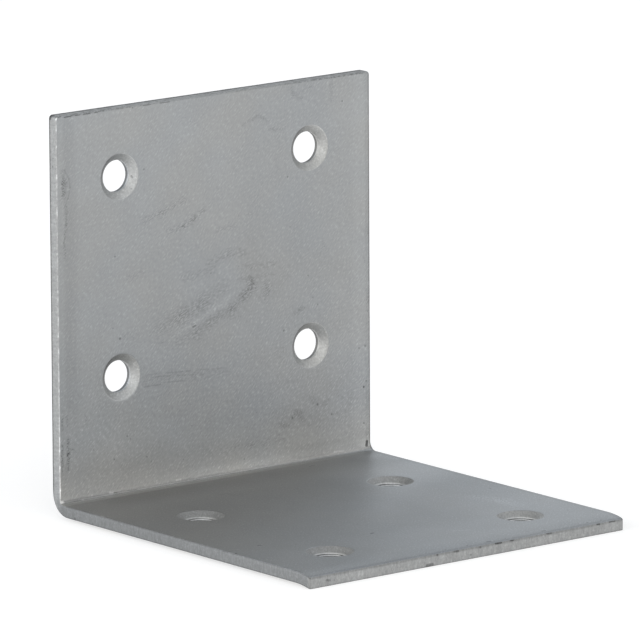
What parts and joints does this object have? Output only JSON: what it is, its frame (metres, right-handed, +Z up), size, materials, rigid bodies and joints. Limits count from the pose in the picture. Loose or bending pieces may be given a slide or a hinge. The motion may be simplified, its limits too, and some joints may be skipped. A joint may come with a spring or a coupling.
{
  "type": "angle bracket",
  "caption": "Square right-angle bracket folded from one strip of zinc-coated sheet steel, with countersunk screw holes through both legs.",
  "frame": {"origin": "middle of the footprint, level with the lowest arris, which is the lower edge of the drooped free end", "axes": "X along the fold, +Y out of the back of the standing leg, +Z up the standing leg; the lying leg points to -Y"},
  "size_m": [0.06, 0.0616, 0.0613],
  "materials": {
    "zinc_steel": "matt zinc coating on sheet steel, with a fine grain and handling marks"
  },
  "bodies": {
    "root": {"bracket": "zinc_steel"}
  },
  "joints": []
}
